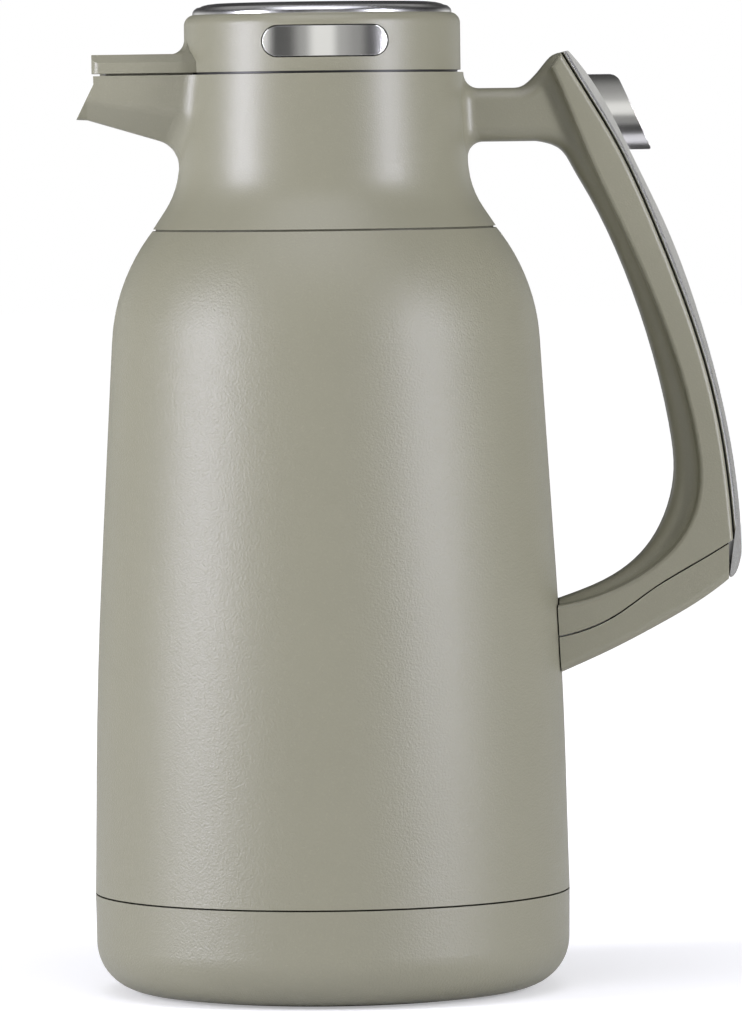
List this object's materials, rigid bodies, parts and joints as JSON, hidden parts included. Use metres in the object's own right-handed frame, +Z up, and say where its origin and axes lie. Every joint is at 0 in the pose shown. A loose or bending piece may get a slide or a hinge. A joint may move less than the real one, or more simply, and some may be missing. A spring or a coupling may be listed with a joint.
{
  "type": "insulated carafe",
  "caption": "Insulated serving carafe with a loop handle, a pouring spout, a thumb-worked pour valve and a lift-off lid with paired release buttons.",
  "frame": {"origin": "middle of the underside of the base pad, on the surface that the carafe stands on", "axes": "+Z up the axis of the body, +X towards the handle, -X towards the spout"},
  "size_m": [0.1932, 0.1396, 0.29],
  "materials": {
    "body_paint": "fine textured powder coat, satin",
    "steel": "drawn steel, satin",
    "cup_paint": "painted like the body, satin",
    "pad_rubber": "matte silicone",
    "inner_plastic": "moulded, fine grain",
    "clear_silicone": "translucent silicone, matte",
    "collar_paint": "painted like the body, satin",
    "trim_steel": "polished, faint grain along its length",
    "screw_steel": "zinc plated",
    "button_chrome": "bright plated",
    "cap_steel": "spun finish round its middle",
    "white_plastic": "moulded acetal",
    "spring_steel": "bright wire"
  },
  "bodies": {
    "carafe": {"outer_shell": "body_paint", "inner_liner": "steel", "outer_bottom": "steel", "getter": "steel", "vacuum_plug": "steel", "base_cup": "cup_paint", "base_pad": "pad_rubber", "neck_ring": "inner_plastic", "collar_gasket": "clear_silicone", "collar_and_handle": "collar_paint", "rod_seal": "clear_silicone", "trim_carrier": "inner_plastic", "carrier_screws": "screw_steel", "handle_trim": "trim_steel", "handle_lower_cover": "collar_paint", "handle_bracket": "steel", "bracket_screw": "screw_steel"},
    "thumb": {"thumb_button": "button_chrome", "button_core": "inner_plastic", "push_rod": "screw_steel", "rod_tip": "white_plastic", "thumb_spring": "spring_steel"},
    "lid": {"lid_shell": "collar_paint", "lid_top_cap": "cap_steel", "lid_base": "inner_plastic", "lid_gasket": "clear_silicone", "lid_screws": "screw_steel", "stopper_body": "inner_plastic", "stopper_seal": "clear_silicone", "stem_bush": "white_plastic", "slider_seal": "clear_silicone"},
    "cam": {"cam_slider": "white_plastic"},
    "valve": {"valve_head": "white_plastic", "valve_stem": "screw_steel", "valve_plug": "inner_plastic", "valve_seal": "clear_silicone", "valve_spring": "spring_steel"},
    "release_front": {"release_button_front": "button_chrome", "release_latch_front": "inner_plastic", "release_spring_front": "spring_steel"},
    "release_back": {"release_button_back": "button_chrome", "release_latch_back": "inner_plastic", "release_spring_back": "spring_steel"}
  },
  "joints": [
    {"name": "thumb_press", "type": "slide", "parent": "carafe", "child": "thumb", "axis": [-1, 0, 0], "range_m": [0, 0.0045], "stiffness_N_per_m": 1200, "springref_m": -0.002, "deforming": ["thumb_spring"]},
    {"name": "lid_lift", "type": "slide", "parent": "carafe", "child": "lid", "axis": [0, 0, 1], "range_m": [0, 0.11]},
    {"name": "cam_slide", "type": "slide", "parent": "lid", "child": "cam", "axis": [-1, 0, 0], "range_m": [0, 0.0045]},
    {"name": "valve_drop", "type": "slide", "parent": "lid", "child": "valve", "axis": [0, 0, -1], "range_m": [0, 0.0045], "stiffness_N_per_m": 400, "springref_m": -0.003, "deforming": ["valve_spring"]},
    {"name": "release_front_press", "type": "slide", "parent": "lid", "child": "release_front", "axis": [0, 1, 0], "range_m": [0, 0.003], "stiffness_N_per_m": 800, "springref_m": -0.001, "deforming": ["release_spring_front"]},
    {"name": "release_back_press", "type": "slide", "parent": "lid", "child": "release_back", "axis": [0, -1, 0], "range_m": [0, 0.003], "stiffness_N_per_m": 800, "springref_m": -0.001, "deforming": ["release_spring_back"]}
  ],
  "couplings": [
    {"joint": "cam_slide", "follows": "thumb_press", "ratio": 1},
    {"joint": "valve_drop", "follows": "thumb_press", "ratio": 1}
  ]
}
